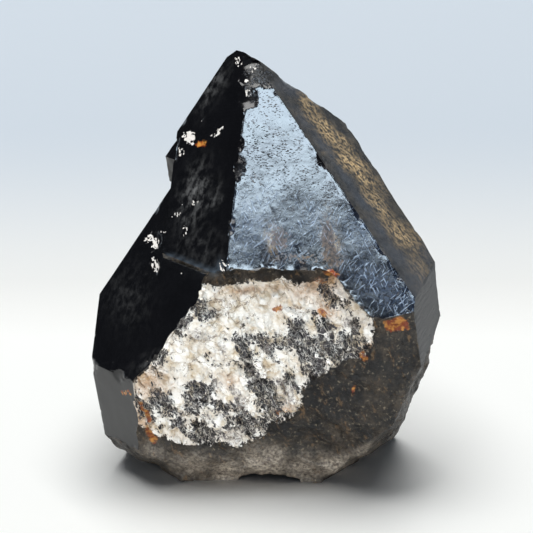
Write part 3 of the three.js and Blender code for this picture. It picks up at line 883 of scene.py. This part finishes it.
chipped_off = ragged_field("black_break", 0.3, 0.5, 0.6)
chip_tone = p.mix(p.ramp(speckle, 0.5, 0.7), CHIP_BLACK, CHIP_GREY)
grown_colour = p.mix(chipped_off, grown_colour, chip_tone)
stain = p.times(ragged_field("stains", 0.25, 0.3, 0.6), front)
stain_tone = p.mix(p.ramp(speckle, 0.4, 0.65), STAIN_BLACK, STAIN_BROWN)
grown_colour = p.mix(stain, grown_colour, stain_tone)

# Fine hatching low on the front face: a blue haze that is painted reflection of the cool window, and
# short scratches crossing at steep angles, raised as relief and painted pale blue as glints.
REFLECTION_BLUE, SCRATCH_GLINT_BLUE = linear(54, 70, 96), linear(176, 196, 222)
SCRATCH_TURNS = [(0.5, 0.0), (-0.4, 7.0), (0.9, 15.0)]  # radians, and where its noise starts

hatched_and_reflecting = p.times(p.attribute("hatching_and_reflection"), front)
scratches_and_glints = []
for turn, start in SCRATCH_TURNS:
    strip = p.stretch(p.stretch(flat_spot, (1, 1, 1), (0, 0, turn)), (3.2, 0.4, 1.0))
    strip = p.vector("ADD", strip, (start, start, start))
    scratches_and_glints.append(p.ramp(p.noise(strip, 1.4, 1.0), 0.65, 0.72))
scratches_and_glints = p.times(p.most(*scratches_and_glints), hatched_and_reflecting)
# Painted reflection: a blue haze mixed into the colour, and painted pale blue glints along the scratches.
painted_reflection = p.times(hatched_and_reflecting, p.ramp(speckle, 0.35, 0.65, 0.1, 0.5))
grown_colour = p.mix(painted_reflection, grown_colour, REFLECTION_BLUE)
grown_colour = p.mix(p.times(scratches_and_glints, 0.42), grown_colour, SCRATCH_GLINT_BLUE)
grown_colour = p.mix(ribbed, grown_colour, p.mix(shade, RIB_BLACK, RIB_GREY))

# White chips and specks with ragged outlines, the pale ledge, and rust. They lie over all the rest.
LEDGE_GREY = linear(96, 108, 120)
CHIP_WHITE, CHIP_BUFF = linear(252, 250, 248), linear(176, 164, 150)
RUST_ORANGE, RUST_BROWN = linear(206, 142, 66), linear(134, 56, 22)
SPECK_SCALE = 1.25  # specks for each millimetre, where all of them show

shards = p.vector("SUBTRACT", p.cells(spot, 2.6, output="Color"), (0.5, 0.5, 0.5))
ragged = p.vector("MULTIPLY_ADD", shards, (0.7, 0.7, 0), front_view)
speck_mark = p.part(p.cells(spot, SPECK_SCALE, output="Color"), 1)
speck_size = p.times(p.attribute("specks"), p.ramp(speck_mark, 0.55, 1.0, 0.0, 0.22))
specks = p.calc("LESS_THAN", p.cells(spot, SPECK_SCALE), speck_size)
chips = p.most(p.ramp(p.spots(ragged, PALE_CHIPS), -0.02, 0.06), specks)
colour = p.mix(grown, rough_colour, grown_colour)
colour = p.mix(p.times(p.attribute("ledge"), 0.5), colour, LEDGE_GREY)
colour = p.mix(chips, colour, p.mix(shade, CHIP_WHITE, CHIP_BUFF))
rust_grain = p.ramp(p.noise(spot, 2.2, 4.0, 0.7), 0.3, 0.62)
rust_here = p.ramp(p.plus(p.attribute("rust"), p.times(rust_grain, 0.35)), 0.5, 0.72)
rust_colour = p.mix(p.ramp(p.noise(spot, 1.4), 0.38, 0.62), RUST_ORANGE, RUST_BROWN)
colour = p.mix(p.times(rust_here, 0.9), colour, rust_colour)
p.put(p.surface.inputs["Base Color"], colour)

# Gloss: the grown faces are glassy, the right face and the ribbed side dull, the rough surfaces uneven.
QUARTZ_IOR = 1.545
RIB_GLOSS = 0.42
CREAM_GLOSS, GRAIN_GLOSS = 0.7, 0.3

shine = p.noise(spot, 1.2, 4.0, 0.6)
face_gloss = p.blend(front, p.ramp(shine, 0.3, 0.7, 0.1, 0.2), p.ramp(shine, 0.3, 0.7, 0.1, 0.16))
face_gloss = p.blend(dull, face_gloss, p.ramp(shine, 0.3, 0.7, 0.38, 0.56))
face_gloss = p.blend(ribbed, face_gloss, RIB_GLOSS)
face_gloss = p.most(
    face_gloss,
    p.times(film, 0.6),
    p.times(p.most(stain, chips), 0.55),
    p.times(chipped_off, 0.3),
    p.times(p.attribute("chipped"), 0.2),
)
patch_gloss = p.blend(grains, CREAM_GLOSS, GRAIN_GLOSS)
rough_gloss = p.blend(patch_here, p.ramp(shine, 0.3, 0.7, 0.28, 0.55), patch_gloss)
p.put(p.surface.inputs["Roughness"], p.blend(grown, rough_gloss, face_gloss))
p.put(p.surface.inputs["IOR"], QUARTZ_IOR)

# Fine relief, in millimetres: pits on the front face, ribs across the prism side, grain on the rest.
PIT_DEPTH = -0.22
RIPPLE_HEIGHT = 0.012  # of growth ripples and of scratches
RIB_HEIGHT = 0.55
CHIP_GRAIN, DULL_GRAIN, BREAK_GRAIN, PATCH_GRAIN = 0.25, 0.12, 0.5, 0.26
GRAIN_DEPTH = -0.14  # of the dark grains, below the cream

pit_here = p.ramp(p.cells(p.stretch(flat_spot, (0.9, 2.6, 1.0)), 2.3), 0.16, 0.38, 1.0, 0.0)
pit_share = p.ramp(p.noise(flat_spot, 0.9, 4.0, 0.7), 0.47, 0.56)
pit_share = p.times(p.plus(p.attribute("pits"), 0.02), pit_share)
pits = p.times(pit_here, pit_share, p.plus(p.times(front, 0.9), 0.1))
face_height = p.plus(
    p.times(pits, PIT_DEPTH),
    p.times(p.noise(p.stretch(flat_spot, (0.8, 1.1, 1.0)), 1.0, 3.0), RIPPLE_HEIGHT),
    p.times(scratches_and_glints, RIPPLE_HEIGHT),
    p.times(p.noise(p.stretch(flat_spot, (0.3, 3.0, 1.0)), 1.0, 4.0, 0.65), ribbed, RIB_HEIGHT),
    p.times(p.noise(spot, 2.6, 3.0, 0.7), chipped_off, CHIP_GRAIN),
    p.times(p.noise(flat_spot, 2.5, 5.0, 0.7), dull, DULL_GRAIN),
)
rough_height = p.plus(
    p.times(p.noise(spot, 1.8, 6.0, 0.72), p.blend(patch_here, BREAK_GRAIN, PATCH_GRAIN)),
    p.times(grains, GRAIN_DEPTH),
)
fine_relief = p.add("Bump", {}, {"Height": p.blend(grown, rough_height, face_height), "Distance": MM})
p.put(p.surface.inputs["Normal"], fine_relief.outputs[0])

stone_mesh.materials.append(p.material)
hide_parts("morion_crystal")
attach(stone, "root")


# The ground and the paper behind it: one pale matt sheet that lies flat under the stone and curves up
# close behind it, to a slope that runs out of the view. Where it rises, it is painted a darker blue-grey
# as painted shade.
FLOOR_FRONT = -600  # millimetres
BEND_START = 34
BEND_RADIUS = 30
BEND_TURN = math.radians(28)
SHEET_TOP = 110
HALF_WIDTH = 520
BEND_STEPS = 24
FLOOR_WHITE, BACK_SHADE_BLUE = linear(250, 251, 250), linear(214, 224, 235)
SHADE_FROM = 0.02  # metres: the sheet turns from white to the blue-grey of its painted shade up to this height

profile = [(FLOOR_FRONT, 0.0)]
for n in range(BEND_STEPS + 1):
    angle = BEND_TURN * n / BEND_STEPS
    lift = BEND_RADIUS * (1 - math.cos(angle))
    profile.append((BEND_START + BEND_RADIUS * math.sin(angle), lift))
last_y, last_z = profile[-1]
profile.append((last_y + (SHEET_TOP - last_z) / math.tan(BEND_TURN), SHEET_TOP))
sheet_points = [(side * MM, y * MM, z * MM) for y, z in profile for side in (-HALF_WIDTH, HALF_WIDTH)]
sheet_faces = [(2 * n, 2 * n + 1, 2 * n + 3, 2 * n + 2) for n in range(len(profile) - 1)]
sheet_mesh = bpy.data.meshes.new("sheet")
sheet_mesh.from_pydata(sheet_points, [], sheet_faces)
sheet_mesh.shade_smooth()
sheet = bpy.data.objects.new("ground_sheet", sheet_mesh)
bpy.context.scene.collection.objects.link(sheet)
paper = Paint("ground")
paper_spot = paper.add("TexCoord", {}, {}).outputs["Object"]
rise = paper.add("SeparateXYZ", {}, {0: paper_spot}).outputs["Z"]
# Painted shade: the sheet's colour turns darker and bluer as it rises.
pale = paper.mix(paper.ramp(rise, 0.0, SHADE_FROM), FLOOR_WHITE, BACK_SHADE_BLUE)
paper.put(paper.surface.inputs["Base Color"], pale)
paper.surface.inputs["Roughness"].default_value = 0.9
paper.surface.inputs["Specular IOR Level"].default_value = 0.1
sheet_mesh.materials.append(paper.material)


# The light: a cool window high in front, which the front face mirrors, a wide fill low in front, and a
# wide soft sky overhead, a little behind the stone. The room around is dim.
def soft_light(name, place, aim, size, watts, colour):
    """A rectangle of light, in metres."""
    light = bpy.data.lights.new(name, "AREA")
    light.shape = "RECTANGLE"
    light.size, light.size_y = size
    light.energy = watts
    light.color = colour
    lamp = bpy.data.objects.new(name, light)
    lamp.location = place
    lamp.rotation_mode = "QUATERNION"
    lamp.rotation_quaternion = (Vector(aim) - Vector(place)).to_track_quat("-Z", "Y")
    bpy.context.scene.collection.objects.link(lamp)
    return lamp


def only_on_the_stone(lamp):
    """The lamp lights the stone and not the sheet, as a reflector card close to the stone does."""
    lit = bpy.data.collections.new(lamp.name + "_lights")
    lit.objects.link(stone)
    lamp.light_linking.receiver_collection = lit


FACE_MIDDLE = np.array([5.1, -11.1, 41.7]) * MM  # of the front face


def towards(azimuth, elevation, distance):
    """A place seen from the middle of the front face: degrees to the right of the viewer, and up."""
    a, e = math.radians(azimuth), math.radians(elevation)
    way = np.array([math.sin(a) * math.cos(e), -math.cos(a) * math.cos(e), math.sin(e)])
    return tuple(FACE_MIDDLE + distance * way)


COOL, WARM, SKY_WHITE = (0.70, 0.86, 1.0), (1.0, 0.98, 0.95), (1.0, 1.0, 0.98)
window = soft_light("window", towards(16, 57.6, 0.8), FACE_MIDDLE, (0.26, 0.16), 2.5, COOL)
fill = soft_light("fill", towards(-6, 22, 1.1), FACE_MIDDLE, (1.1, 0.5), 8.0, WARM)
only_on_the_stone(window)
only_on_the_stone(fill)
soft_light("sky", (-0.05, 0.08, 1.0), (0, 0, 0), (0.95, 0.6), 11.4, SKY_WHITE)

DIM_BLUE = (0.05, 0.056, 0.066, 1)
room = bpy.data.worlds.new("room")
room.use_nodes = True
background = room.node_tree.nodes["Background"]
background.inputs["Color"].default_value = DIM_BLUE
background.inputs["Strength"].default_value = 1.0
bpy.context.scene.world = room
bpy.context.scene.view_settings.view_transform = "Standard"
bpy.context.scene.view_settings.look = "None"
